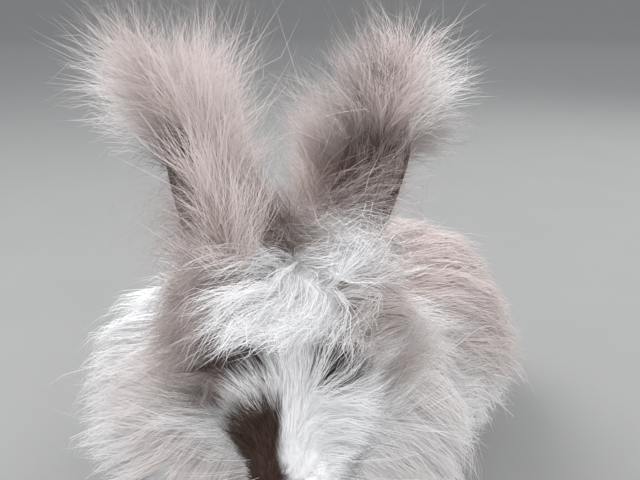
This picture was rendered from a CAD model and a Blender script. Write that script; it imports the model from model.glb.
"""The looks of a life-size angora rabbit: skin, wet eyes, claws, whiskers and a coat of fine mesh strands.

Metres, +Z up. The forms, the head's pose and the ears repeat the solids' own driving sizes, and
every piece is set on them by the place of the left eye.
"""

import math

import bmesh
import bpy
import numpy as np
from mathutils import Matrix, Vector
from mathutils.bvhtree import BVHTree
from mathutils.kdtree import KDTree


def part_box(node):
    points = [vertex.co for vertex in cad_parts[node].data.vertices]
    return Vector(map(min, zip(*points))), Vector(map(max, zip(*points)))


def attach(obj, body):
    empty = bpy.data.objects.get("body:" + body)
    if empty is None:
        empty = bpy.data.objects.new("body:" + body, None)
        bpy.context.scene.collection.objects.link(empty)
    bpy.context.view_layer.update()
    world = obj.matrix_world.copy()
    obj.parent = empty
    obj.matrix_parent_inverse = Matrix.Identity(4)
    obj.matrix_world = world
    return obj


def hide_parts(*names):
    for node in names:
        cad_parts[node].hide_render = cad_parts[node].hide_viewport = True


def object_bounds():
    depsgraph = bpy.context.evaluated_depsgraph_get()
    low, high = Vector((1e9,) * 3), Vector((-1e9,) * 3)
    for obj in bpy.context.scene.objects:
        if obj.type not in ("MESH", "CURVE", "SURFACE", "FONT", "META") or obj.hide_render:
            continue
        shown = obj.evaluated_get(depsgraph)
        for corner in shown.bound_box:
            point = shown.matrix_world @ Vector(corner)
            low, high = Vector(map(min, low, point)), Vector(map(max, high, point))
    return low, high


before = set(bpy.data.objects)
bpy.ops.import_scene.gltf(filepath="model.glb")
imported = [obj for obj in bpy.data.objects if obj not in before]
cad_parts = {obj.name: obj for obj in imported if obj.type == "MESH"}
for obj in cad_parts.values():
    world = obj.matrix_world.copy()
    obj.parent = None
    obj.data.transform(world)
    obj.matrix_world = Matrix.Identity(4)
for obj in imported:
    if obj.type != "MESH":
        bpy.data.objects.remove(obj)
CAD_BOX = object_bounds()
# Strands that go further out of the solids' box than this length and this share of its side are drawn in
OVERREACH = 0.009
OVERREACH_SHARE = 0.03
SPARE = OVERREACH_SHARE * np.array(CAD_BOX[1] - CAD_BOX[0])
HIGH_LIMIT = np.array(CAD_BOX[1]) + OVERREACH + SPARE
LOW_LIMIT = np.array(CAD_BOX[0]) - OVERREACH - SPARE
LOW_LIMIT[2] = 0.0012

SEED = 11
UP = np.array((0.0, 0.0, 1.0))
SIDES = ((1, "left"), (-1, "right"))

# Driving sizes of the head, the eyes and the ears
HEAD_YAW = math.radians(25)
HEAD_PITCH = math.radians(28)
OCCIPUT = Vector((0.0138, -0.0938, 0.1961))
EYE_RADIUS = 0.0088
EYE_PLACE = Vector((0.0226, -0.058, 0.0070))
EYE_OPENING = 0.0060
PUPIL_RADIUS = 0.0036
CORNEA_RADIUS = 0.0048
CORNEA_RISE = 0.0008
EAR_LENGTH = 0.112
EAR_THICK = 0.0024
EAR_BASE = Vector((0.0205, -0.024, 0.0165))

# The skin's grain, and how often it is smoothed and the face made finer
VOXEL = 0.0026
SMOOTHING = 5
FACE_CUTS = 2
# The share of a form's length over which its sizes are evened out
EVENED_SHARE = 0.1
# Where along a form its skin passes from the one depth to the other
SKIN_PASSAGE = (0.42, 0.62)

# The waves of one noise
WAVES = 5

# How deep a strand is rooted, and how high its corners stay over the floor
ROOT_DEPTH = 0.002
FLOOR_GAP = 0.0008
# The size of a strand's patch on the unwrapped skin, and its margin there
PATCH = 0.003
MARGIN = 0.02
# Height of a strand's ridge and drop of its edges, as shares of its half width
RIDGE = 0.5
EDGE_DROP = 0.2
# How much of a strand's own roundness is in its shading
OWN_SHADE = 0.2
# The share of strays, how they gather, how long they are and how far they sway beside the rest
STRAYS = 0.04
STRAY_GATHER = 0.2
STRAY_LENGTH = 1.08
STRAY_SWAY = 1.9
# The waves along a strand: their turn in radians, their size beside its bend, and where they may start
CURL_TURN = 7.5
CURL_SIZE = 0.75
PHASES = (0, 6.283)
# How far strands end short of the limits of size, at random
SLACK = 0.014
# How much of its way out a lying line carries on, and how much of its height it mends, at each step
CARRIED = 0.4
MENDED = 0.85

# The wool of an ear: how many strands, their width, bend and steps, and how they clump
EAR_COUNT = 8300
EAR_WIDTH = 0.00029
EAR_BEND = 0.16
EAR_STEPS = 4
EAR_CLUMP = 16
EAR_GATHER = 0.72
EAR_STRAYS = 0.06

# The camera in the part's own frame
CAMERA_PLACE = Vector((0.136, -0.377, 0.331))
CAMERA_AZIMUTH = math.radians(20)
CAMERA_DROP = math.radians(20)
CAMERA_LENS = 35.0

HEAD_MATRIX = (
    Matrix.Translation(OCCIPUT)
    @ Matrix.Rotation(HEAD_YAW, 4, "Z")
    @ Matrix.Rotation(HEAD_PITCH, 4, "X")
)


def box_middle(node):
    low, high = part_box(node)
    return (low + high) / 2


# The solids were moved so that the origin is at the middle of their box
SHIFT = box_middle("eye_left") - HEAD_MATRIX @ EYE_PLACE
HEAD_MATRIX = Matrix.Translation(SHIFT) @ HEAD_MATRIX
HEAD_TURN = np.array(HEAD_MATRIX.to_3x3())
HEAD_SPOT = np.array(HEAD_MATRIX.translation)
HEAD_BACK = np.array(HEAD_MATRIX.inverted())


def unit(vectors):
    """Vectors made one long."""
    return vectors / np.maximum(np.linalg.norm(vectors, axis=-1, keepdims=True), 1e-12)


def powered(values, power):
    """A power that keeps the sign."""
    return np.sign(values) * np.abs(values) ** power


def smooth(values, low, high):
    """0 below low, 1 above high, and an even passage between."""
    share = np.clip((values - low) / (high - low), 0, 1)
    return share * share * (3 - 2 * share)


def blob(points, centre, sizes):
    """1 at a centre, falling to 0 at an ellipsoid round it."""
    return 1 - smooth(np.linalg.norm((points - centre) / sizes, axis=-1), 0.55, 1.0)


def sided(x, reach=0.02):
    """-1 on the right and 1 on the left, with a passage over the middle."""
    return np.clip(x / reach, -1, 1)


def waver(points, scale, seed):
    """Smooth, repeatable noise in three values round 0, with waves about as long as scale."""
    rng = np.random.default_rng(seed)
    total = np.zeros(points.shape)
    for _ in range(WAVES):
        wave = rng.normal(size=3) * 2 * math.pi / scale * 0.6
        total += np.sin((points @ wave)[..., None] + rng.uniform(*PHASES, 3)) * rng.uniform(0.5, 1, 3)
    return total / WAVES


def evened(rows, places, reach):
    """The further columns of a table at places along its first one, averaged over a reach."""
    total = 0
    for step in (-0.5, 0.0, 0.5):
        near = np.clip(places + step * reach, rows[0, 0], rows[-1, 0])
        total = total + np.array([np.interp(near, rows[:, 0], column) for column in rows.T[1:]]) / 3
    return total


def body_place(points):
    """Points in the frame of the body's driving sizes."""
    return points - np.array(SHIFT)


def head_place(points):
    """Points in the head's own frame: x to its left, -y to the nose, z to the crown."""
    return points @ HEAD_BACK[:3, :3].T + HEAD_BACK[:3, 3]


def ways(*parts):
    """Headings from their three parts, each an array or one number."""
    return np.stack(np.broadcast_arrays(*parts), -1)


def head_ways(*parts):
    """Headings given in the head's own frame."""
    return ways(*parts) @ HEAD_TURN.T


def turned(place, degrees, axis="X"):
    """A frame at a place, turned about one of its axes."""
    return Matrix.Translation(place) @ Matrix.Rotation(math.radians(degrees), 4, axis)


class Form:
    """A rounded form along its own Y axis.

    Each row, in millimetres, is a place along it, then half width, top and underside of the flesh
    there, then the depth of wool at the sides, on top and underneath. The ends have their own depth.
    The skin stands at a share of that depth, where the wool is too dense to see into.
    """

    def __init__(self, rows, ends, matrix, squareness, blunt, skin):
        self.rows = np.array(rows) / 1000
        self.ends = np.array(ends) / 1000
        self.skin = skin
        moved = Matrix.Translation(SHIFT) @ matrix
        self.turn = np.array(moved.to_3x3())
        self.spot = np.array(moved.translation)
        self.back = np.array(moved.to_3x3().inverted())
        self.squareness, self.blunt = squareness, blunt

    def span(self, share):
        """Both ends of the form with a share of their wool."""
        return self.rows[0, 0] - share * self.ends[0], self.rows[-1, 0] + share * self.ends[1]

    def section(self, y, share):
        """Place along from 0 to 1, half width, middle height, half height, and how far it has closed."""
        first, last = self.rows[0, 0], self.rows[-1, 0]
        low, high = self.span(share)
        along = np.clip((y - low) / (high - low), 0, 1)
        sizes = evened(self.rows, np.clip(y, first, last), EVENED_SHARE * (last - first))
        width, top, under, side_wool, top_wool, under_wool = sizes
        width = width + share * side_wool
        top = top + share * top_wool
        under = under - share * under_wool
        close = np.maximum(1 - np.abs(2 * along - 1) ** self.blunt, 0) ** (1 / self.blunt)
        return along, width, (top + under) / 2, (top - under) / 2, close

    def points(self, along, around, share):
        low, high = self.span(share)
        y = low + along * (high - low)
        _, width, middle, half, close = self.section(y, share)
        power = 2 / self.squareness
        x = width * powered(np.cos(around), power) * close
        z = middle + half * powered(np.sin(around), power) * close
        return ways(x, y, z) @ self.turn.T + self.spot

    def place_of(self, points):
        """Where points near the skin lie on it, along and around."""
        local = (points - self.spot) @ self.back.T
        share = self.skin_share(self.section(local[:, 1], self.skin[1])[0])
        along, width, middle, half, close = self.section(local[:, 1], share)
        close = np.maximum(close, 1e-3)
        power = self.squareness / 2
        x = powered(local[:, 0] / (width * close), power)
        z = powered((local[:, 2] - middle) / (half * close), power)
        return along, np.arctan2(z, x)

    def skin_share(self, along):
        near, far = self.skin
        return near + (far - near) * smooth(along, *SKIN_PASSAGE)

    def on_skin(self, along, around):
        return self.points(along, around, self.skin_share(along))

    def mesh_into(self, shape, sides=64, rings=48):
        made = bmesh.ops.create_uvsphere(shape, u_segments=sides, v_segments=rings, radius=1)["verts"]
        places = np.array([vertex.co for vertex in made])
        along = np.clip((1 - places[:, 2]) / 2, 0, 1)
        around = np.arctan2(places[:, 1], places[:, 0])
        for vertex, place in zip(made, self.on_skin(along, around)):
            vertex.co = place


HEAD = Form(
    [
        (-106, 16, 5, -16, 3, 3, 3),
        (-98, 20, 9, -20.5, 4, 4, 4),
        (-86, 22.5, 13, -24, 5, 5, 6),
        (-72, 25, 17.5, -27, 3, 7, 10),
        (-60, 28, 21.5, -29, 2, 12, 16),
        (-48, 31, 24.5, -28.5, 6, 22, 22),
        (-34, 31.5, 26, -28.5, 26, 34, 30),
        (-18, 27, 24.5, -23, 34, 34, 30),
        (0, 17, 15, -14, 30, 30, 30),
    ],
    ends=(2, 30),
    matrix=Matrix.Translation(-SHIFT) @ HEAD_MATRIX,
    squareness=2.2,
    blunt=4.0,
    skin=(0.25, 0.45),
)
NECK = Form(
    [
        (-34, 44, 50, -60, 62, 40, 30),
        (0, 58, 54, -66, 68, 40, 26),
        (40, 62, 50, -60, 68, 40, 24),
    ],
    ends=(34, 10),
    matrix=turned((0.003, -0.088, 0.108), -14),
    squareness=2.4,
    blunt=2.6,
    skin=(0.52, 0.52),
)
TORSO = Form(
    [
        (-95, 50, 138, 50, 66, 40, 30),
        (-50, 62, 152, 36, 68, 44, 28),
        (0, 70, 158, 30, 66, 46, 24),
        (50, 78, 159, 27, 62, 46, 22),
        (100, 78, 146, 24, 60, 46, 19),
        (140, 66, 122, 26, 60, 46, 20),
        (165, 44, 94, 34, 60, 46, 24),
    ],
    ends=(10, 44),
    matrix=Matrix(),
    squareness=2.5,
    blunt=2.8,
    skin=(0.52, 0.52),
)
TAIL = Form(
    [
        (-20, 12, 10, -12, 10, 16, 8),
        (14, 16, 14, -14, 22, 24, 14),
    ],
    ends=(0, 24),
    matrix=turned((0.0, 0.183, 0.062), 28),
    squareness=2.0,
    blunt=2.2,
    skin=(0.4, 0.4),
)
HAUNCH_ROWS = [
    (-62, 20, 26, -30, 26, 22, 12),
    (0, 30, 42, -40, 36, 26, 10),
    (58, 22, 30, -34, 28, 24, 12),
]
HAUNCH_MATRIX = turned((0.078, 0.082, 0.066), 10)
HIND_FOOT_ROWS = [
    (-104, 10.5, 15, 1, 3, 3, 1),
    (-80, 13.5, 20.5, 1, 3, 4, 1),
    (-30, 11.5, 22, 1, 4, 5, 1),
    (10, 12, 30, 1, 4, 5, 1),
]
HIND_FOOT_MATRIX = turned((0.082, 0.066, 0.0), 7, "Z")
FORELEG_ROWS = [
    (-56, 10.5, 14, 1, 2, 3, 1),
    (-40, 12.5, 20, 1, 3, 4, 1),
    (-14, 12, 30, 1, 4, 6, 1),
    (14, 14, 52, 1, 6, 10, 1),
]
FORELEG_MATRIX = turned((0.028, -0.108, 0.0), 5, "Z")

FORMS = {"head": HEAD, "neck": NECK, "torso": TORSO, "tail": TAIL}
# The frame and the first row of each foot
FEET = []
for side, word in SIDES:
    flip = Matrix.Scale(side, 4, (1, 0, 0))
    haunch, hind_foot, foreleg = flip @ HAUNCH_MATRIX, flip @ HIND_FOOT_MATRIX, flip @ FORELEG_MATRIX
    FORMS["haunch_" + word] = Form(HAUNCH_ROWS, (16, 20), haunch, 2.2, 2.4, (0.45, 0.45))
    FORMS["hindfoot_" + word] = Form(HIND_FOOT_ROWS, (2, 2), hind_foot, 2.6, 3.2, (0.2, 0.2))
    FORMS["foreleg_" + word] = Form(FORELEG_ROWS, (2, 2), foreleg, 2.6, 3.0, (0.2, 0.2))
    for name, matrix in (("hindfoot_", hind_foot), ("foreleg_", foreleg)):
        FEET.append((matrix, FORMS[name + word].rows[0]))
NAMES = list(FORMS)


class Ear:
    """One ear: a scoop that stands on the crown, rolled at its foot and open towards one side."""

    rows = np.array([
        (0.00, 0.0105, 2.55),
        (0.20, 0.0130, 2.20),
        (0.45, 0.0158, 1.62),
        (0.70, 0.0168, 1.22),
        (0.90, 0.0150, 0.74),
        (1.00, 0.0120, 0.22),
    ])

    def __init__(self, side, lean, opening):
        self.side = side
        base = Vector((side * EAR_BASE.x, EAR_BASE.y, EAR_BASE.z))
        self.base = np.array(HEAD_MATRIX @ base)
        self.along = unit(np.array(lean))
        opening = np.array(opening)
        self.opening = unit(opening - self.along * (opening @ self.along))
        self.across = unit(np.cross(self.along, self.opening))

    def sizes(self, share):
        """Radius of the scoop, and half the angle that its wall spans."""
        return evened(self.rows, share, EVENED_SHARE)

    def outwards(self, share, turn):
        angle = (turn * self.sizes(share)[1])[..., None]
        return self.across * np.sin(angle) - self.opening * np.cos(angle)

    def point(self, share, turn, offset):
        curl = (0.010 * share * share - 0.004 * share)[..., None]
        middle = self.base + self.along * (EAR_LENGTH * share)[..., None] - self.opening * curl
        radius = self.sizes(share)[0] + offset
        return middle + self.outwards(share, turn) * radius[..., None]

    def mesh_into(self, shape, columns=26, rows=56, foot=-0.12):
        """The thin scoop, its wall rounded off towards both edges and the tip."""
        made = bmesh.ops.create_grid(shape, x_segments=columns, y_segments=rows, size=1)["verts"]
        faces = {face for vertex in made for face in vertex.link_faces}
        inner = {vertex: (vertex.co.x, vertex.co.y) for vertex in made}
        grown = bmesh.ops.extrude_face_region(shape, geom=list(faces))["geom"]
        outer = {v: (v.co.x, v.co.y) for v in grown if isinstance(v, bmesh.types.BMVert)}
        for layer, sign in ((inner, -1), (outer, 1)):
            turn, level = np.array(list(layer.values())).T
            share = foot + (level + 1) / 2 * (1 - foot)
            thick = EAR_THICK * (1 - 0.7 * np.abs(turn) ** 6) * (1 - 0.6 * np.clip(share, 0, 1) ** 8)
            for vertex, place in zip(layer, self.point(share, turn, sign * thick / 2)):
                vertex.co = place


EARS = {
    "left": Ear(1, (0.18, 0.411, 0.893), (0.15, -0.95, 0.15)),
    "right": Ear(-1, (-0.563, 0.111, 0.818), (-0.40, -0.80, 0.12)),
}


def linked(name, data):
    """A new object in the scene."""
    made = bpy.data.objects.new(name, data)
    bpy.context.scene.collection.objects.link(made)
    return made


def object_of(shape, name):
    """A bmesh stored as an object, its faces turned to face out."""
    bmesh.ops.recalc_face_normals(shape, faces=shape.faces)
    mesh = bpy.data.meshes.new(name)
    shape.to_mesh(mesh)
    shape.free()
    mesh.shade_smooth()
    return linked(name, mesh)


def ellipsoid_into(shape, matrix, place, sizes):
    """An ellipsoid at a place in a frame."""
    matrix = matrix @ Matrix.Translation(place) @ Matrix.Diagonal((*sizes, 1))
    bmesh.ops.create_uvsphere(shape, u_segments=20, v_segments=14, radius=1, matrix=matrix)


def eye_matrix(side):
    """The frame of an eye, its Z axis along the gaze."""
    gaze = Vector((side * 1.0, -0.28, 0.22)).normalized()
    centre = Matrix.Translation((side * EYE_PLACE.x, EYE_PLACE.y, EYE_PLACE.z))
    return HEAD_MATRIX @ centre @ gaze.to_track_quat("Z", "Y").to_matrix().to_4x4()


TOE_RADIUS = 0.0052
# How far the middle toes stand forward and the outer ones back
TOE_STEP = 0.0025


def toes():
    """The four toes of each foot: the foot's frame, and the toe's place across and along it."""
    for foot, first in FEET:
        for k in range(4):
            forward = -TOE_STEP if k in (1, 2) else TOE_STEP
            yield Matrix.Translation(SHIFT) @ foot, first[1] * (k - 1.5) * 0.52, first[0] + forward


def remeshed(made):
    """The object's parts joined into one even skin."""
    modifier = made.modifiers.new("join", "REMESH")
    modifier.mode = "VOXEL"
    modifier.voxel_size = VOXEL
    modifier.adaptivity = 0
    bpy.context.view_layer.update()
    mesh = bpy.data.meshes.new_from_object(made.evaluated_get(bpy.context.evaluated_depsgraph_get()))
    bpy.data.objects.remove(made, do_unlink=True)
    return mesh


NOSTRIL = (0.0046, 0.0005)


def carve_face(shape):
    """Sinks the nostrils, the split lip, the mouth and the eyes' sockets, and raises the lids."""
    shape.normal_update()
    vertices = [v for v in shape.verts if in_face(v.co)]
    places = head_place(np.array([v.co for v in vertices]))
    normals = np.array([v.normal for v in vertices])
    x, y, z = places.T
    front = smooth(-y, 0.094, 0.100)
    depth = np.zeros(len(vertices))
    for side in (-1, 1):
        off, level = x - side * NOSTRIL[0], z - NOSTRIL[1]
        along = off * 0.85 + side * level * 0.53
        across = level * 0.85 - side * off * 0.53
        depth += 0.0024 * np.exp(-(across / 0.0009) ** 2 - (along / 0.0030) ** 2) * front
    split = (z < -0.0015) & (z > -0.0160)
    depth += 0.0016 * np.exp(-(x / 0.0008) ** 2) * front * split
    turn = np.arctan2(x, -(y + 0.088))
    level = -0.0148 - 0.0032 * (turn / 1.05) ** 2
    reach = 1 - smooth(np.abs(turn), 0.95, 1.2)
    depth += 0.0018 * np.exp(-((z - level) / 0.0009) ** 2) * reach * (y < -0.076)
    moved = places.copy()
    for side in (-1, 1):
        frame_of_eye = np.array(HEAD_MATRIX.inverted() @ eye_matrix(side))
        local = (places - frame_of_eye[:3, 3]) @ frame_of_eye[:3, :3]
        ring = np.hypot(local[:, 0], local[:, 1] / 0.86)
        near = local[:, 2] > 0
        lid = 0.0019 * np.exp(-((ring - EYE_OPENING - 0.0014) / 0.0015) ** 2) * near
        socket = 0.0055 * (1 - smooth(ring, EYE_OPENING - 0.0014, EYE_OPENING + 0.0006)) * near
        moved += frame_of_eye[:3, 2] * (lid - socket)[:, None]
    back = moved @ HEAD_TURN.T + HEAD_SPOT - normals * depth[:, None]
    for vertex, place in zip(vertices, back):
        vertex.co = place


def in_face(place):
    """Whether a place is on the part of the head that gets the finer skin."""
    x, y, z = HEAD_MATRIX.inverted() @ place
    return y < -0.048 and abs(x) < 0.040 and z > -0.040


def build_skin():
    """The skin, the tree of its trunk without the ears, and the number of the trunk's points."""
    shape = bmesh.new()
    for form in FORMS.values():
        form.mesh_into(shape)
    for side in (-1, 1):
        ellipsoid_into(shape, HEAD_MATRIX, (side * 0.0085, -0.1005, -0.0068), (0.0120, 0.0125, 0.0105))
    ellipsoid_into(shape, HEAD_MATRIX, (0, -0.0930, -0.0190), (0.0125, 0.0140, 0.0075))
    for foot, x, y in toes():
        ellipsoid_into(shape, foot, (x, y + 0.0035, TOE_RADIUS * 1.05), (0.0044, 0.0095, TOE_RADIUS))
    mesh = remeshed(object_of(shape, "flesh"))
    shape = bmesh.new()
    shape.from_mesh(mesh)
    bpy.data.meshes.remove(mesh)
    axes = {"use_axis_x": True, "use_axis_y": True, "use_axis_z": True}
    for _ in range(SMOOTHING):
        bmesh.ops.smooth_vert(shape, verts=shape.verts, factor=0.5, **axes)
    for _ in range(FACE_CUTS):
        face = [f for f in shape.faces if in_face(f.calc_center_median())]
        edges = list({edge for f in face for edge in f.edges})
        bmesh.ops.subdivide_edges(shape, edges=edges, cuts=1, use_grid_fill=True, smooth=0.4)
        bmesh.ops.triangulate(shape, faces=[f for f in shape.faces if len(f.verts) > 4])
    carve_face(shape)
    for vertex in shape.verts:
        vertex.co.z = max(vertex.co.z, 0.0)
    trunk = BVHTree.FromBMesh(shape)
    trunk_count = len(shape.verts)
    for ear in EARS.values():
        ear.mesh_into(shape)
    return object_of(shape, "skin"), trunk, trunk_count


def triples(items, key, kind=float):
    """A value of three numbers of each item of a mesh."""
    values = np.empty(len(items) * 3, kind)
    items.foreach_get(key, values)
    return values.reshape(-1, 3)


def mesh_arrays(mesh):
    """Points, point normals and triangles of a mesh."""
    mesh.calc_loop_triangles()
    triangles = triples(mesh.loop_triangles, "vertices", np.int64)
    return triples(mesh.vertices, "co"), triples(mesh.vertices, "normal"), triangles


def owners(points):
    """The form that each point lies on, and its place along and around that form."""
    best = np.full(len(points), 1e9)
    owner = np.zeros(len(points), int)
    along, around = np.zeros(len(points)), np.zeros(len(points))
    for k, form in enumerate(FORMS.values()):
        a, r = form.place_of(points)
        far = np.linalg.norm(form.on_skin(a, r) - points, axis=1)
        nearer = far < best
        best[nearer], owner[nearer], along[nearer], around[nearer] = far[nearer], k, a[nearer], r[nearer]
    return owner, along, around


def coat_depth(owner, along, around):
    """How far the coat stands out from the skin at each place."""
    depth = np.zeros(len(owner))
    for k, form in enumerate(FORMS.values()):
        of = owner == k
        low = form.on_skin(along[of], around[of])
        high = form.points(along[of], around[of], 1.0)
        depth[of] = np.linalg.norm(high - low, axis=1)
    return depth


def head_markings(points):
    """Shares of fawn and of dark on the head: white brow and blaze, fawn crown and right side."""
    place = head_place(points)
    place = place + waver(points, 0.030, 3) * 0.003
    x, y, z = place.T
    crown = smooth(y - 0.35 * np.clip(x, 0, 0.03), -0.011, -0.004)
    right_brow = smooth(y + 0.017 - 1.45 * x, -0.003, 0.003)
    right_brow = right_brow * smooth(z, -0.006, 0.004) * smooth(-x, -0.014, -0.004)
    beside_eye = smooth(-x, 0.014, 0.022) * smooth(y, -0.078, -0.070)
    right_cheek = beside_eye * (0.75 + 0.20 * smooth(z, 0.000, 0.008))
    left_side = smooth(x, 0.016, 0.022) * smooth(y, -0.062, -0.050)
    left_cheek = left_side * (0.32 + 0.45 * smooth(z, -0.004, 0.008))
    strip = blob(place, (0.028, -0.064, -0.020), (0.010, 0.014, 0.026))
    fawn = np.maximum.reduce([0.95 * crown, 0.95 * right_brow, right_cheek, left_cheek, 0.8 * strip])
    muzzle = smooth(-x, 0.0040, 0.0080) * (1 - smooth(y, -0.083, -0.077)) * (1 - smooth(z, 0.012, 0.018))
    dark = np.maximum.reduce([
        muzzle,
        np.maximum(0.44 * right_brow, 0.36 * crown),
        0.25 * strip,
        0.94 * blob(place, (-0.0190, -0.0625, 0.0150), (0.021, 0.0135, 0.016)),
        0.94 * blob(place, (0.0155, -0.0660, 0.0145), (0.0135, 0.0135, 0.014)),
        0.60 * blob(place, (-0.028, -0.066, -0.016), (0.014, 0.016, 0.020)),
        0.34 * blob(place, (0.031, -0.034, 0.008), (0.014, 0.022, 0.018)),
    ])
    return np.clip(fawn, 0, 1), np.clip(dark, 0, 1)


def body_markings(points):
    """Shares of fawn and of dark on the body: a fawn saddle with white patches on a white coat."""
    noise = waver(points, 0.13, 5)
    ragged = body_place(points) + noise * 0.02
    _, y, z = ragged.T
    saddle = smooth(z, 0.085, 0.125) * smooth(y, -0.060, -0.030)
    rump = 0.6 * smooth(y, 0.15, 0.19) * smooth(noise[:, 1], -0.2, 0.2)
    white = np.maximum.reduce([
        0.80 * blob(ragged, (0.052, -0.062, 0.172), (0.030, 0.034, 0.030)),
        0.85 * blob(ragged, (-0.085, 0.020, 0.145), (0.040, 0.045, 0.035)),
        0.75 * blob(ragged, (0.030, 0.125, 0.155), (0.045, 0.035, 0.040)),
    ])
    fawn = np.maximum(saddle * (1 - white), rump) * (0.78 + 0.6 * noise[:, 2])
    dark = 0.42 * blob(ragged, (0.074, -0.046, 0.150), (0.026, 0.026, 0.026))
    return np.clip(fawn, 0, 1), dark


def neck_markings(points):
    """The share of fawn on the ruff, which is pinkish beside both cheeks."""
    place = body_place(points)
    right = 0.62 * blob(place, (-0.010, -0.130, 0.135), (0.060, 0.050, 0.050))
    left = 0.42 * blob(place, (0.070, -0.100, 0.145), (0.045, 0.060, 0.055))
    return np.maximum(right, left)


def markings(points, owner):
    """Shares of fawn and of dark at places on the skin, by the form that they lie on."""
    fawn, dark = body_markings(points)
    of_head = owner == NAMES.index("head")
    if of_head.any():
        fawn[of_head], dark[of_head] = head_markings(points[of_head])
    of_neck = owner == NAMES.index("neck")
    fawn[of_neck] = np.maximum(0.35 * fawn[of_neck], neck_markings(points[of_neck]))
    for k, name in enumerate(NAMES):
        if name.startswith(("hindfoot", "foreleg")):
            fawn[owner == k] = 0
            dark[owner == k] = 0
    return fawn, dark


def body_flow(points):
    """The coat of the body lies back along the spine and hangs down the sides and the rump."""
    x, y, z = body_place(points).T
    height = np.clip((z - 0.03) / 0.12, 0, 1)
    rump = np.clip((y - 0.09) / 0.08, 0, 1)
    across = 0.55 * sided(x, 0.06) * height
    return ways(across, 0.75 - 0.35 * rump, -0.35 - 0.45 * (1 - height) - 0.5 * rump)


def ruff_flow(points):
    """The ruff and chest hang down and part to both sides."""
    x, y, _ = body_place(points).T
    back = np.clip((y + 0.10) / 0.06, 0, 1)
    return ways(0.85 * sided(x - 0.01, 0.06), 0.15 + 0.55 * back, -0.65)


def cheek_flow(points):
    """The cheeks lie outwards and backwards from the face and droop to their tips, the right one more."""
    x = head_place(points)[:, 0]
    droop = np.clip((np.abs(x) - 0.03) / 0.04, 0, 1)
    fall = np.where(x > 0, 0.10 + 0.50 * droop, 0.35 + 0.60 * droop)
    return head_ways(0.95 * sided(x), 0.25, 0.0) - UP * fall[:, None]


def fringe_flow(points):
    """The white brow is one cloud, which falls over the right eye and rises beside the left ear."""
    x, y, _ = head_place(points).T
    left = smooth(x + 0.5 * (y + 0.022), -0.022, 0.018) * smooth(y, -0.052, -0.036)
    past = np.clip(-x / 0.03, 0, 1)
    flow = head_ways(-0.85 + 1.35 * left, -0.55 + 0.30 * past + 0.35 * left, 0.0)
    return flow - UP * (0.25 + 0.25 * past - 0.90 * left)[:, None]


def crown_flow(points):
    """The curly wool of the crown stands up between the ears and falls down the head's right side."""
    x, y, _ = head_place(points).T
    front = smooth(-y, -0.012, 0.008)
    falling = smooth(-x, -0.002, 0.014)
    flow = head_ways(0.7 * sided(x), 0.6 - 0.9 * front, 0.25 - 0.4 * front)
    return flow + UP * (-0.3 + 1.0 * front * (1 - falling))[:, None]


def muzzle_flow(points):
    """The short fur lies back from the nose, and the tufts of its white side curl outwards and down."""
    x, y, _ = head_place(points).T
    side = sided(x)
    tuft = smooth(x, 0.000, 0.010) * (1 - smooth(y, -0.082, -0.072))
    flow = head_ways(0.30 * side + 0.75 * tuft, 1.0 - 0.75 * tuft, -0.25 * np.abs(side))
    return flow - UP * (0.55 * tuft)[:, None]


def foot_flow(points):
    """The fur of the feet lies forward to the toes."""
    return np.tile(np.array((0.0, -1.0, -0.25)), (len(points), 1))


def nearest_on(tree, points):
    """The foot on the skin below each point, the way out, and the height over it."""
    spots, normals = np.empty(points.shape), np.empty(points.shape)
    for k, point in enumerate(points):
        spot, normal, _, _ = tree.find_nearest(Vector(point))
        spots[k], normals[k] = spot, normal
    height = ((points - spots) * normals).sum(1)
    return spots, normals, height


def lying_guides(tree, roots, normals, flow, lengths, depths, steps, stand):
    """Lines that leave the skin and lie over it along the flow, rising to the coat's depth."""
    points = roots - normals * ROOT_DEPTH
    path, out = [points], normals
    outs = [normals]
    for k in range(steps):
        share = (k + 1) / steps
        lie = flow(points)
        lie = unit(lie - out * (lie * out).sum(1, keepdims=True))
        rise = stand * (1 - share) ** 1.5
        heading = unit(lie + out * rise)
        points = points + heading * (lengths / steps)[:, None]
        _, found, height = nearest_on(tree, points)
        out = unit(out * CARRIED + found)
        wanted = depths * math.sin(share * math.pi / 2) ** 0.8
        points = points + out * ((wanted - height) * MENDED)[:, None]
        path.append(points)
        outs.append(out)
    return np.stack(path, 1), np.stack(outs, 1)


def free_guides(roots, starts, ends, lengths, steps):
    """Lines that bend from one heading to another."""
    points = roots
    path = [points]
    for k in range(steps):
        share = (k + 0.5) / steps
        heading = unit(starts * (1 - share) + ends * share)
        points = points + heading * (lengths / steps)[:, None]
        path.append(points)
    return np.stack(path, 1)


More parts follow.
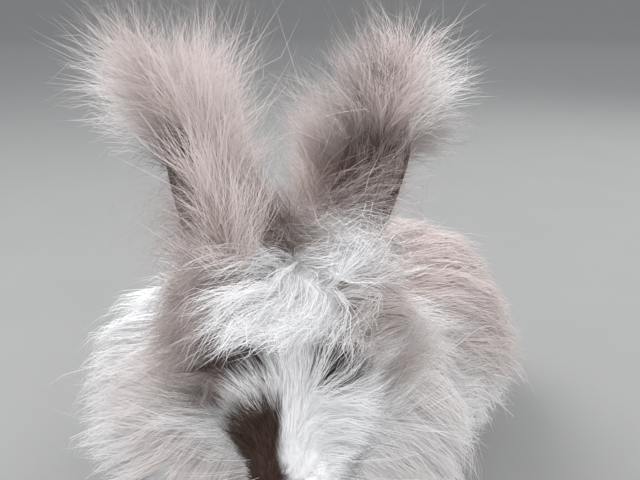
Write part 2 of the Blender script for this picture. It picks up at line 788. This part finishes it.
def clumped(rng, roots, guide_roots, guides, gather, bend, stray):
    """Strands that follow the nearest guide and draw together towards its tip, with a few strays."""
    tree = KDTree(len(guide_roots))
    for k, root in enumerate(guide_roots):
        tree.insert(root, k)
    tree.balance()
    index = np.array([tree.find(root)[1] for root in roots])
    count, steps = len(roots), guides.shape[1] - 1
    share = np.linspace(0, 1, steps + 1)[None, :, None]
    base = guides[index]
    offset = (roots - guide_roots[index])[:, None, :]
    wild = (rng.random(count) < stray)[:, None, None]
    pull = gather * rng.uniform(0.6, 1.15, (count, 1, 1)) * np.where(wild, STRAY_GATHER, 1.0)
    paths = base + offset * (1 - np.clip(pull, 0, 1) * share**0.8)
    length = np.linalg.norm(base[:, -1] - base[:, 0], axis=1)[:, None, None]
    stretch = np.clip(rng.normal(1.0, 0.13, (count, 1, 1)), 0.6, 1.25) * np.where(wild, STRAY_LENGTH, 1.0)
    paths = paths[:, :1] + (paths - paths[:, :1]) * stretch
    sway = rng.normal(size=(count, 1, 3)) * np.where(wild, STRAY_SWAY, 1.0)
    paths = paths + sway * length * bend * share**1.5
    curl = rng.normal(size=(count, 1, 3))
    phase = rng.uniform(*PHASES, (count, 1, 1))
    paths = paths + curl * length * bend * CURL_SIZE * np.sin(share * CURL_TURN + phase) * share
    return held_in(rng, paths), index


def held_in(rng, paths):
    """Strands that would pass the limits are drawn back towards their roots."""
    roots = paths[:, :1]
    away = paths - roots
    slack = rng.uniform(0, SLACK, (len(paths), 1, 1))
    high = np.where(away > 0, HIGH_LIMIT - slack, 1e3)
    low = np.where(away < 0, LOW_LIMIT + slack, -1e3)
    with np.errstate(divide="ignore", invalid="ignore"):
        fits = np.where(away < -1e-6, (low - roots) / away, 1.0)
        fits = np.where(away > 1e-6, (high - roots) / away, fits)
    pull = np.clip(fits, 0.05, 1).min(axis=(1, 2))
    return roots + away * pull[:, None, None]


def random_tones(rng, count):
    return np.clip(rng.normal(1.0, 0.05, count), 0.85, 1.12)


def random_widths(rng, width, count):
    return width * rng.uniform(0.65, 1.25, count)


def set_channels(mesh, channels):
    """Stores values of a mesh's points under their names."""
    for key, value in channels.items():
        attribute = mesh.attributes.new(key, "FLOAT", "POINT")
        attribute.data.foreach_set("value", np.asarray(value, np.float32))


def spread_over(values, rings, per):
    """A value of each strand, or of each step along it, given to the strand's points."""
    if values.ndim == 1:
        return np.repeat(values, per)
    return np.concatenate([np.repeat(values[:, :rings], 3, axis=1), values[:, -1:]], 1).reshape(-1)


def strand_object(name, paths, outs, width, patches, channels, finish):
    """All the strands of a piece of coat: each a flat, tapered blade of three sides, closed at both ends.

    Their normals lean to the way out of the coat, so that the wool is shaded as one soft mass.
    """
    count, rings = paths.shape[0], paths.shape[1] - 1
    per = rings * 3 + 1
    heading = unit(np.concatenate([paths[:, 1:2] - paths[:, :1], paths[:, 2:] - paths[:, :-2]], 1))
    side = unit(np.cross(heading, outs[:, :rings]))
    out = np.cross(side, heading)
    share = np.arange(rings) / rings
    taper = np.clip(0.75 + 1.2 * share, 0, 1) * (1 - share**2.2 * 0.85)
    half = (width[:, None] * taper / 2)[..., None]
    drop = out * half * EDGE_DROP
    corners = np.stack([-side * half - drop, out * half * RIDGE, side * half - drop], 2)
    body = paths[:, :rings, None, :] + corners
    points = np.concatenate([body.reshape(count, rings * 3, 3), paths[:, -1:]], 1)
    points[..., 2] = np.maximum(points[..., 2], FLOOR_GAP)
    around = np.stack([out * 0.3 - side, out, out * 0.3 + side], 2) * OWN_SHADE
    soft = unit(around + outs[:, :rings, None, :]).reshape(count, rings * 3, 3)
    soft = np.concatenate([soft, outs[:, -1:]], 1)
    faces = [(2, 1, 0)]
    for ring in range(rings - 1):
        low, high = ring * 3, ring * 3 + 3
        for k in range(3):
            after = (k + 1) % 3
            faces += [(low + k, low + after, high + after), (low + k, high + after, high + k)]
    faces += [(rings * 3 - 3 + k, rings * 3 - 3 + (k + 1) % 3, rings * 3) for k in range(3)]
    faces = np.array(faces)
    loops = (faces.reshape(1, -1) + np.arange(count)[:, None] * per).reshape(-1)
    mesh = bpy.data.meshes.new(name)
    mesh.vertices.add(count * per)
    mesh.vertices.foreach_set("co", points.reshape(-1))
    mesh.loops.add(len(loops))
    mesh.loops.foreach_set("vertex_index", loops)
    mesh.polygons.add(len(loops) // 3)
    mesh.polygons.foreach_set("loop_start", np.arange(0, len(loops), 3))
    mesh.polygons.foreach_set("loop_total", np.full(len(loops) // 3, 3))
    mesh.update(calc_edges=True)
    mesh.shade_smooth()
    mesh.normals_split_custom_set_from_vertices(soft.reshape(-1, 3))
    across = np.append(np.tile((-0.5, 0.0, 0.5), rings), 0.0)
    up = np.append(np.repeat(share, 3), 1.0)
    local = np.stack([across, up - 0.5], -1) * PATCH
    places = patches[:, None, :] + local[None]
    layer = mesh.uv_layers.new(name="OFBake")
    layer.data.foreach_set("uv", places.reshape(-1, 2)[loops].reshape(-1))
    values = {key: spread_over(value, rings, per) for key, value in channels.items()}
    values["up"] = np.tile(up, count)
    set_channels(mesh, values)
    mesh.materials.append(finish)
    made = linked(name, mesh)
    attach(made, "root")


class Value:
    """A number in a shader tree; the operators add Math nodes."""

    def __init__(self, tree, socket):
        self.tree, self.socket = tree, socket

    def math(self, operation, *inputs):
        return self.tree.node("ShaderNodeMath", {"operation": operation}, inputs)

    def __add__(self, other):
        return self.math("ADD", self, other)

    __radd__ = __add__

    def __mul__(self, other):
        return self.math("MULTIPLY", self, other)

    __rmul__ = __mul__

    def __sub__(self, other):
        return self.math("SUBTRACT", self, other)

    def __rsub__(self, other):
        return self.math("SUBTRACT", other, self)

    def clamped(self):
        return self.math("MINIMUM", self.math("MAXIMUM", self, 0.0), 1.0)


class Finish:
    """A material under construction."""

    def __init__(self, name, roughness, specular=0.5, **constants):
        self.material = bpy.data.materials.new(name)
        self.material.use_nodes = True
        self.nodes = self.material.node_tree.nodes
        self.links = self.material.node_tree.links
        self.shader = self.nodes["Principled BSDF"]
        self.shader.inputs["Roughness"].default_value = roughness
        self.shader.inputs["Specular IOR Level"].default_value = specular
        for key, value in constants.items():
            self.shader.inputs[key.replace("_", " ")].default_value = value

    def node(self, kind, settings=None, inputs=(), output=0):
        made = self.nodes.new(kind)
        for key, value in (settings or {}).items():
            setattr(made, key, value)
        pairs = inputs.items() if isinstance(inputs, dict) else enumerate(inputs)
        for key, value in pairs:
            if isinstance(value, Value):
                self.links.new(value.socket, made.inputs[key])
            else:
                made.inputs[key].default_value = value
        return Value(self, made.outputs[output])

    def attribute(self, name):
        return self.node("ShaderNodeAttribute", {"attribute_name": name}, output="Fac")

    def place(self):
        return self.node("ShaderNodeTexCoord", output="Object")

    def noise(self, scale, detail=2.0):
        inputs = {"Vector": self.place(), "Scale": scale, "Detail": detail}
        return self.node("ShaderNodeTexNoise", inputs=inputs)

    def mix(self, share, low, high, blend="MIX"):
        low = low if isinstance(low, Value) else (*low, 1)
        high = high if isinstance(high, Value) else (*high, 1)
        settings = {"data_type": "RGBA", "blend_type": blend}
        return self.node("ShaderNodeMix", settings, {0: share, 6: low, 7: high}, output=2)

    def set(self, key, value):
        self.links.new(value.socket, self.shader.inputs[key])

    def bump(self, height, strength, distance):
        inputs = {"Strength": strength, "Distance": distance, "Height": height}
        self.set("Normal", self.node("ShaderNodeBump", inputs=inputs))


WHITE = (0.93, 0.93, 0.94)
FAWN = (0.63, 0.53, 0.505)
FAWN_ROOT = (0.40, 0.30, 0.265)
FAWN_TIP = (0.77, 0.695, 0.685)
DARK = (0.026, 0.014, 0.010)
DARK_TIP = (0.080, 0.048, 0.037)
PINK = (0.50, 0.30, 0.27)
EAR_INSIDE = (0.085, 0.052, 0.048)
IRIS = (0.030, 0.012, 0.006)
IRIS_LIGHT = (0.075, 0.030, 0.014)
PUPIL = (0.003, 0.002, 0.002)
CLAW = (0.30, 0.22, 0.17)
CLAW_LIGHT = (0.55, 0.44, 0.36)
# The share of fawn on the ears' skin, and the faint glow of skin and wool
EAR_FAWN = 0.9
WOOL_GLOW = 0.16


def coat_colour(finish, up, tone):
    """The colour of skin and coat alike, from the shares of fawn and dark."""
    fawn = finish.mix((1.6 * up).clamped(), FAWN_ROOT, FAWN)
    fawn = finish.mix((2.5 * up - 1.5).clamped(), fawn, FAWN_TIP)
    base = finish.mix(finish.attribute("fawn"), WHITE, fawn)
    base = finish.mix(finish.attribute("dark"), base, finish.mix(up, DARK, DARK_TIP))
    shade = finish.node("ShaderNodeCombineColor", inputs=(tone, tone, tone))
    return finish.mix(1.0, base, shade, "MULTIPLY")


def wool_finish():
    """Fine wool: light passes from fibre to fibre, which the faint glow stands for."""
    finish = Finish("wool", roughness=0.75, specular=0.2, Emission_Strength=WOOL_GLOW)
    up = finish.attribute("up")
    tone = finish.attribute("tone") * (0.92 + 0.10 * up)
    colour = coat_colour(finish, up, tone)
    finish.set("Base Color", colour)
    finish.set("Emission Color", colour)
    return finish.material


def skin_finish():
    finish = Finish("skin", roughness=0.85, specular=0.2, Emission_Strength=WOOL_GLOW)
    grain = finish.noise(900, 3)
    tone = 0.88 + 0.10 * grain
    colour = coat_colour(finish, 0.35 * grain, tone)
    colour = finish.mix(finish.attribute("bare"), colour, EAR_INSIDE)
    colour = finish.mix(finish.attribute("nose"), colour, PINK)
    finish.set("Base Color", colour)
    finish.set("Emission Color", colour)
    finish.bump(grain, 0.4, 0.0006)
    return finish.material


def eye_finish():
    finish = Finish("eye", roughness=0.06, Coat_Weight=1.0, Coat_Roughness=0.02)
    iris = finish.mix(finish.noise(700, 4), IRIS, IRIS_LIGHT)
    finish.set("Base Color", finish.mix(finish.attribute("pupil"), iris, PUPIL))
    return finish.material


def claw_finish():
    finish = Finish("claw", roughness=0.35)
    grain = finish.noise(500, 3)
    finish.set("Base Color", finish.mix(grain, CLAW, CLAW_LIGHT))
    finish.bump(grain, 0.1, 0.0003)
    return finish.material


def build_eye(side, word, finish):
    """An eyeball with a raised cornea over its pupil."""
    shape = bmesh.new()
    bmesh.ops.create_uvsphere(shape, u_segments=40, v_segments=28, radius=EYE_RADIUS)
    rings = [math.hypot(v.co.x, v.co.y) for v in shape.verts]
    pupil = [ring < PUPIL_RADIUS and v.co.z > 0 for ring, v in zip(rings, shape.verts)]
    for vertex, ring in zip(shape.verts, rings):
        if vertex.co.z > 0:
            vertex.co.z += CORNEA_RISE * math.exp(-((ring / CORNEA_RADIUS) ** 2))
    bmesh.ops.transform(shape, matrix=eye_matrix(side), verts=shape.verts)
    name = "eyeball_" + word
    made = object_of(shape, name)
    set_channels(made.data, {"pupil": pupil})
    made.data.materials.append(finish)
    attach(made, "root")
    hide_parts("eye_" + word)


def build_claws(finish):
    """Four curved claws on each foot."""
    shape = bmesh.new()
    for foot, x, y in toes():
        ring = bmesh.ops.create_circle(shape, cap_ends=True, segments=10, radius=0.0013)["verts"]
        matrix = foot @ turned((x, y - 0.0042, TOE_RADIUS), 84)
        bmesh.ops.transform(shape, matrix=matrix, verts=ring)
        face = ring[0].link_faces[0]
        heading = (foot.to_3x3() @ Vector((0, -1, -0.1))).normalized()
        for narrowing in [0.86] * 5 + [0.35]:
            face = bmesh.ops.extrude_discrete_faces(shape, faces=[face])["faces"][0]
            middle = face.calc_center_median()
            heading = (heading + Vector((0, 0, -0.10))).normalized()
            for vertex in face.verts:
                vertex.co = middle + (vertex.co - middle) * narrowing + heading * 0.0011
    bmesh.ops.remove_doubles(shape, verts=shape.verts, dist=1e-6)
    made = object_of(shape, "claws")
    made.data.materials.append(finish)
    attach(made, "root")


def finish_skin(skin, trunk_count):
    """Stores the markings on the skin, and the bare inside of the ears."""
    points, normals, _ = mesh_arrays(skin.data)
    fawn, dark = markings(points, owners(points)[0])
    bare = np.zeros(len(points))
    fawn[trunk_count:] = EAR_FAWN
    dark[trunk_count:] = 0
    per_ear = (len(points) - trunk_count) // 2
    for k, ear in enumerate(EARS.values()):
        first = trunk_count + k * per_ear
        of_ear = slice(first, first + per_ear)
        bare[of_ear] = smooth((normals[of_ear] * ear.opening).sum(1), 0.0, 0.3)
    nose = blob(head_place(points), (0, -0.109, -0.004), (0.0052, 0.008, 0.0045))
    set_channels(skin.data, {"fawn": fawn, "dark": dark, "bare": bare, "nose": nose})
    skin.data.materials.append(skin_finish())
    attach(skin, "root")
    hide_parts(*[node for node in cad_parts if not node.startswith("eye")])


class Roots:
    """Places on the skin where strands may grow."""

    def __init__(self, mesh, trunk_count):
        points, normals, triangles = mesh_arrays(mesh)
        triangles = triangles[(triangles < trunk_count).all(1)]
        self.corners, self.normals = points[triangles], normals[triangles]
        a, b, c = self.corners.transpose(1, 0, 2)
        self.area = np.linalg.norm(np.cross(b - a, c - a), axis=1) / 2
        middle = (a + b + c) / 3
        self.owner = owners(middle)[0]
        self.local = head_place(middle)
        self.place = body_place(middle)

    def owned(self, *names):
        return np.isin(self.owner, [NAMES.index(name) for name in names])

    def draw(self, rng, count, where):
        """Random places on the triangles chosen, evenly over their area times a weight."""
        weight = self.area * where
        chosen = rng.choice(len(weight), count, p=weight / weight.sum())
        u, v = rng.random(count), rng.random(count)
        over = u + v > 1
        u[over], v[over] = 1 - u[over], 1 - v[over]
        shares = np.stack([1 - u - v, u, v], 1)[..., None]
        points = (self.corners[chosen] * shares).sum(1)
        return points, unit((self.normals[chosen] * shares).sum(1))


def within(shares):
    """Shares of a whole, kept off its borders by a margin."""
    return MARGIN + (1 - 2 * MARGIN) * shares


def unwrapped(owner, along, around):
    """The place of each root on an unwrap of the skin: each form of a piece has its own strip."""
    strips = sorted(set(owner.tolist()))
    column = np.searchsorted(strips, owner)
    return ways((column + within(along)) / len(strips), within((around / (2 * math.pi)) % 1.0))


def grow_lying(tree, roots, finish, name, where, count, flow, width, steps=3, per_clump=10,
               lengths=(0.012, 1.9), stand=1.0, gather=0.70, bend=0.06, waves=0.35, scatter=0.10,
               trim=None, reaches=(0.1, 0.45), lean=0.0, slot="white_wool"):
    """One piece of coat that lies over the body along its flow, fuller on the right side by its lean."""
    rng = np.random.default_rng(SEED + len(name) * 7 + count)
    points, _ = roots.draw(rng, count, where)
    guide_points, guide_normals = roots.draw(rng, max(8, count // per_clump), where)
    owner, along, around = owners(guide_points)
    depth = coat_depth(owner, along, around)
    length = (lengths[0] + lengths[1] * depth) * rng.uniform(0.8, 1.1, len(depth))
    own_way = rng.normal(size=guide_points.shape) * scatter

    def wavering(at):
        return unit(flow(at)) + own_way + waver(at, 0.05, 21) * waves * 1.6 + waver(at, 0.016, 22) * waves

    fuller = 1 + lean * sided(SHIFT.x - guide_points[:, 0], 0.06)
    reach = depth * rng.uniform(*reaches, len(depth)) * fuller
    if trim:
        scale = trim(head_place(guide_points))
        length *= scale
        reach *= np.maximum(scale, 1)
    guides, outs = lying_guides(tree, guide_points, guide_normals, wavering, length, reach, steps, stand)
    paths, index = clumped(rng, points, guide_points, guides, gather, bend, STRAYS)
    owner, along, around = owners(points)
    fawn, dark = markings(points + waver(points, 0.01, 31) * 0.003, owner)
    tone = random_tones(rng, len(points))
    tone *= rng.uniform(0.92, 1.04, len(guide_points))[index]
    channels = {"fawn": fawn, "dark": dark, "tone": tone}
    widths = random_widths(rng, width, count)
    patches = unwrapped(owner, along, around)
    strand_object(name, paths, outs[index], widths, patches, channels, finish)


def ear_strands(rng, ear, count, shares, turns, inside, heading, lengths, bend=EAR_BEND):
    """One kind of an ear's wool, by its places along and across the ear, headings, lengths and curl."""
    side = -1 if inside else 1

    def places(number):
        share = shares[0] + (shares[1] - shares[0]) * rng.beta(1.3, 1.0, number)
        turn = rng.uniform(*turns, number)
        return share, turn, ear.point(share, turn, side * EAR_THICK / 2), ear.outwards(share, turn) * side

    share, turn, roots, out = places(count)
    guide_share, guide_turn, guide_roots, guide_out = places(max(8, count // EAR_CLUMP))
    start, end = heading(guide_share[:, None], guide_turn[:, None], guide_out)
    noise = waver(guide_roots, 0.022, 41) * 0.7 + rng.normal(size=guide_roots.shape) * 0.14
    length = lengths(guide_share, guide_turn) * rng.uniform(0.75, 1.15, len(guide_share))
    noise *= bend / EAR_BEND
    guides = free_guides(guide_roots, unit(start + noise * 0.6), unit(end + noise), length, EAR_STEPS)
    paths, index = clumped(rng, roots, guide_roots, guides, EAR_GATHER, bend, EAR_STRAYS)
    tips = unit(guides[:, -1] - guide_roots)[index]
    soft = unit(out + 0.5 * tips + ear.opening * 0.3)
    return paths, np.repeat(soft[:, None], EAR_STEPS + 1, 1), share, turn


def grow_ear(name, ear, finish, middle, plume):
    """The wool of an ear: fluffy at the back, swept over the front from the inner edge, a brush at the tip.

    Its lengths are given by how full it is towards the middle and in its plume.
    """
    rng = np.random.default_rng(SEED + 100 + int(ear.side))
    inner = -ear.side
    to_middle = ear.across * inner

    def behind(share, turn, out):
        end = ear.along * (0.9 - 0.5 * share) + out * (0.35 + 0.6 * share) - UP * 0.15
        return ear.along * 0.5 + out * 0.9, end

    def behind_lengths(share, turn):
        outer = smooth(-turn * inner, 0.1, 0.6) * (1 - smooth(share, 0.55, 0.8))
        return (0.026 + 0.020 * share) * (1 - 0.92 * outer) * plume

    def inner_edge(share, turn, out):
        across = -0.30 + 0.85 * smooth(share, 0.72, 0.95)
        sweep = rng.uniform(-across, 1.0)
        start = ear.along * 0.40 + ear.opening * 0.45 + to_middle * (0.5 + 0.4 * sweep)
        end = ear.along * (0.55 + 0.3 * share) + to_middle * sweep + ear.opening * 0.15 - UP * 0.08
        return start, end

    def inner_lengths(share, turn):
        return (0.034 + 0.020 * share) * (plume + (middle - plume) * (1 - smooth(share, 0.5, 0.85)))

    def outer_edge(share, turn, out):
        return out * 0.8 + ear.along * 0.45, out * 1.0 + ear.along * (0.6 * share - 0.15) - UP * 0.30

    def brush(share, turn, out):
        start = ear.opening * 0.35 + ear.along * 0.9
        return start, ear.along * 0.65 + ear.across * turn * 1.2 * plume + ear.opening * 0.15 - UP * 0.12

    def foot(share, turn, out):
        start = ear.along * 0.5 + ear.opening * 0.9
        return start, ear.along * 0.7 + ear.opening * 0.1 + ear.across * turn * 0.5

    def lining(share, turn, out):
        return ear.along + out * 0.30, ear.along + ear.across * turn * 0.2

    both = (-1, 1)
    edge = sorted((inner * 0.45, inner * 1.0))
    rim = sorted((-inner * 0.72, -inner * 1.0))
    kinds = {
        "behind": (0.20, (0, 1), both, False, behind, behind_lengths),
        "inner edge": (0.17, (0, 0.6), edge, False, inner_edge, inner_lengths, EAR_BEND / 2),
        "inner tuft": (0.16, (0.5, 1), edge, False, inner_edge, inner_lengths),
        "outer edge": (0.12, (0.72, 1), rim, False, outer_edge, lambda s, t: (0.014 + 0.034 * s) * plume),
        "brush": (0.17, (0.70, 1), both, True, brush, lambda s, t: (0.030 + 0.022 * s) * plume),
        "foot": (0.08, (0, 0.25), both, True, foot, lambda s, t: 0.034 - 0.05 * s),
        "lining": (0.10, (0.1, 0.8), both, True, lining, lambda s, t: np.full(len(s), 0.014)),
    }
    parts = [ear_strands(rng, ear, int(EAR_COUNT * of_all), *kind) for of_all, *kind in kinds.values()]
    kind = np.repeat(list(kinds), [len(part[0]) for part in parts])
    paths, outs, share, turn = (np.concatenate([part[k] for part in parts]) for k in range(4))
    tone = random_tones(rng, len(paths))
    white = smooth(-turn * inner, 0.1, 0.9) * smooth(share, 0.5, 0.9)
    patchy = np.clip(0.95 + waver(paths[:, 0], 0.03, 42)[:, 0] * 0.3, 0, 1)
    brushed = (kind == "brush") * (1 - smooth(share, 0.70, 0.86))
    lined = (kind == "lining") * 0.88
    along = np.linspace(0, 1, paths.shape[1])
    fawn = patchy[:, None] * (1 - white[:, None] * (0.35 + 0.55 * along))
    dark = 0.85 * brushed[:, None] * (1 - 1.4 * along) + lined[:, None] * (1 - 0.35 * along)
    channels = {"fawn": fawn, "dark": np.maximum(dark, 0), "tone": tone}
    patches = ways(within(share), 0.5 + 0.48 * turn)
    widths = random_widths(rng, EAR_WIDTH, len(paths))
    strand_object(name, paths, outs, widths, patches, channels, finish)


def grow_whiskers(finish):
    """Long whiskers that fan from both pads of the muzzle."""
    rng = np.random.default_rng(SEED + 5)
    count, steps = 18, 7
    side = np.where(np.arange(count) % 2, 1, -1)
    row, level = rng.uniform(-1, 1, (2, count))
    roots = head_ways(side * (0.0165 + 0.002 * row), -0.101 + 0.005 * row, -0.006 + 0.005 * level)
    roots = roots + HEAD_SPOT
    start = head_ways(side * 0.9, -0.25 + 0.2 * row, 0.25 * level)
    end = head_ways(side * 0.8, 0.35 + 0.25 * row, 0.3 * level) - UP * 0.25
    paths = free_guides(roots, start, end, rng.uniform(0.035, 0.055, count), steps)
    paths = held_in(rng, paths)
    outs = np.repeat(unit(head_ways(side * 0.3, -1, 0.3))[:, None], steps + 1, 1)
    channels = {"fawn": np.zeros(count), "dark": np.zeros(count), "tone": np.full(count, 1.1)}
    patches = ways(within(np.linspace(0, 1, count)), 0.5)
    widths = np.full(count, 0.00024)
    strand_object("whiskers", paths, outs, widths, patches, channels, finish)


def brow_trim(place):
    """The brow is long on top and ends short over the eyes."""
    x, y, _ = place.T
    return (0.22 + 0.78 * smooth(y, -0.054, -0.030)) * (1 - 0.45 * smooth(-x, 0.010, 0.028))


def crown_trim(place):
    """The wool between the ears is the longest of the crown."""
    x, y, _ = place.T
    return 1 + 0.7 * (1 - smooth(np.abs(x), 0.010, 0.024)) * smooth(y, -0.012, 0.0)


def face_trim(place):
    """The white side of the muzzle, the jowls and the jaw are fluffy, the fur round the eyes short."""
    x, y, z = place.T
    white = smooth(x, -0.004, 0.006) * (1 - smooth(y, -0.080, -0.070)) * smooth(y, -0.110, -0.100)
    jowl = smooth(y, -0.090, -0.066) * smooth(np.abs(x), 0.010, 0.022) * smooth(-z, -0.004, 0.006)
    eye = smooth(y, -0.078, -0.066) * smooth(z, 0.002, 0.008)
    return (1 + 1.2 * white + 0.9 * jowl + 0.7 * smooth(-z, 0.004, 0.016)) * (1 - 0.35 * eye)


def grow_coat(tree, skin, trunk_count):
    """Every piece of the coat, from the finest on the face to the coarsest at the back."""
    roots = Roots(skin.data, trunk_count)
    wool = wool_finish()
    x, y, z = roots.local.T
    px, py, pz = roots.place.T
    head = roots.owned("head")
    torso = roots.owned("torso")
    rump = torso & (py > 0.120)
    back = torso & ~rump & (pz > 0.118)
    flank = torso & ~rump & ~back & (pz > 0.022)
    feet = roots.owned(*[name for name in NAMES if name.startswith(("hindfoot", "foreleg"))])
    grow_ear("coat_ear_left", EARS["left"], wool, middle=0.80, plume=0.72)
    grow_ear("coat_ear_right", EARS["right"], wool, middle=1.55, plume=0.88)

    def grow(name, *values, **settings):
        grow_lying(tree, roots, wool, "coat_" + name, *values, **settings)

    grow("face", head & (y < -0.056), 12200, muzzle_flow, 0.00024, steps=2, per_clump=7,
         lengths=(0.0045, 1.3), stand=1.1, gather=0.45, reaches=(0.9, 1.5), slot="face_fur", trim=face_trim)
    brow = head & (y > -0.054 + 0.010 * (x < -0.012)) & (y < 0.002) & (z > 0.008) & (x < 0.026)
    grow("brow", brow * (1 + smooth(y, -0.034, -0.020)), 8800, fringe_flow, 0.00030, steps=4,
         lengths=(0.016, 1.2), stand=1.3, gather=0.6, bend=0.09, waves=0.6, scatter=0.25,
         reaches=(0.8, 1.3), trim=brow_trim)
    between_ears = 1 + 2.0 * (1 - smooth(np.abs(x), 0.010, 0.018))
    crown = (head & (y > -0.014) & (z > 0.002)) * between_ears
    grow("crown", crown, 4700, crown_flow, 0.00030, steps=4, per_clump=8, lengths=(0.018, 1.2), stand=1.9,
         gather=0.6, bend=0.16, waves=0.6, reaches=(0.8, 1.6), trim=crown_trim, slot="fawn_wool")
    beside = (np.abs(x) > 0.012) & ((z < 0.010) | (x > 0.024))
    cheek = (y > -0.064 + 0.004 * (x < 0)) & (y < 0.0) & beside
    nape = (y > -0.002) & (z < 0.012)
    grow("cheeks", head * (cheek + 0.6 * nape), 8200, cheek_flow, 0.00033, steps=4, per_clump=14,
         lengths=(0.016, 1.8), gather=0.72, bend=0.05, scatter=0.08, reaches=(0.6, 1.0))
    grow("ruff", roots.owned("neck"), 9600, ruff_flow, 0.00044, per_clump=14, lengths=(0.012, 1.9),
         stand=1.3, bend=0.05, scatter=0.08, reaches=(0.7, 1.0), lean=0.3)
    grow("back", back, 6500, body_flow, 0.00050, slot="fawn_wool")
    grow("rump", rump, 3600, body_flow, 0.00070, slot="fawn_wool")
    grow("tail", roots.owned("tail"), 1200, body_flow, 0.00060, reaches=(0.5, 0.9))
    for word, half in (("left", px > 0), ("right", px <= 0)):
        grow("side_" + word, flank & half, 3300, body_flow, 0.00066)
        grow("haunch_" + word, roots.owned("haunch_" + word), 2200, body_flow, 0.00065)
    grow("feet", feet & (pz > 0.002), 4800, foot_flow, 0.00042, steps=2, per_clump=6,
         lengths=(0.0095, 1.5), stand=1.2, gather=0.5, reaches=(1.3, 2.6))
    grow_whiskers(wool)


# The floor's rings, each with its radius and height
STAGE_RINGS = [(3.0, 0.0), (9.0, 0.0), (10.2, 0.25), (11.1, 0.9), (11.7, 2.0), (12.0, 4.0)]
FLOOR = (0.30, 0.30, 0.295)
FLOOR_LIGHT = (0.32, 0.32, 0.315)
SKY = (0.95, 0.965, 1.0, 1)
SKY_STRENGTH = 0.82
# Each light's name, place, size and power
LIGHTS = (
    ("key", (-0.9, -0.5, 1.9), 1.0, 29),
    ("rim", (0.8, 1.4, 1.5), 1.0, 16),
    ("fill", (1.3, -1.4, 0.9), 1.4, 10),
)


def build_stage():
    """A plain floor that rises into a wall far away on all sides, and soft studio lights."""
    shape = bmesh.new()
    rings = []
    for radius, height in STAGE_RINGS:
        place = Matrix.Translation((0, 0, height))
        rings.append(bmesh.ops.create_circle(shape, segments=96, radius=radius, matrix=place)["verts"])
    bmesh.ops.contextual_create(shape, geom=rings[0])
    for low, high in zip(rings, rings[1:]):
        for k in range(len(low)):
            after = (k + 1) % len(low)
            shape.faces.new((low[k], low[after], high[after], high[k]))
    floor = object_of(shape, "floor")
    finish = Finish("floor", roughness=0.9)
    finish.set("Base Color", finish.mix(finish.noise(6), FLOOR, FLOOR_LIGHT))
    floor.data.materials.append(finish.material)
    world = bpy.data.worlds.new("studio")
    world.use_nodes = True
    sky = world.node_tree.nodes["Background"]
    sky.inputs["Color"].default_value = SKY
    sky.inputs["Strength"].default_value = SKY_STRENGTH
    bpy.context.scene.world = world
    for name, place, size, power in LIGHTS:
        light = bpy.data.lights.new(name, "AREA")
        light.size = size
        light.energy = power
        lamp = linked(name, light)
        lamp.location = place
        lamp.rotation_euler = (Vector((0, 0, 0.15)) - Vector(place)).to_track_quat("-Z", "Y").to_euler()
    bpy.context.scene.view_settings.view_transform = "Standard"


def build_camera():
    camera = bpy.data.cameras.new("camera")
    camera.lens = CAMERA_LENS
    camera.sensor_width = 36.0
    camera.clip_start = 0.01
    seat = linked("camera", camera)
    flat = math.cos(CAMERA_DROP)
    right, ahead = -math.sin(CAMERA_AZIMUTH) * flat, math.cos(CAMERA_AZIMUTH) * flat
    way = Vector((right, ahead, -math.sin(CAMERA_DROP)))
    seat.location = CAMERA_PLACE + SHIFT
    seat.rotation_euler = way.to_track_quat("-Z", "Y").to_euler()
    bpy.context.scene.camera = seat


build_camera()
build_stage()
skin, trunk, trunk_count = build_skin()
finish_skin(skin, trunk_count)
eye = eye_finish()
for side, word in SIDES:
    build_eye(side, word, eye)
build_claws(claw_finish())
grow_coat(trunk, skin, trunk_count)
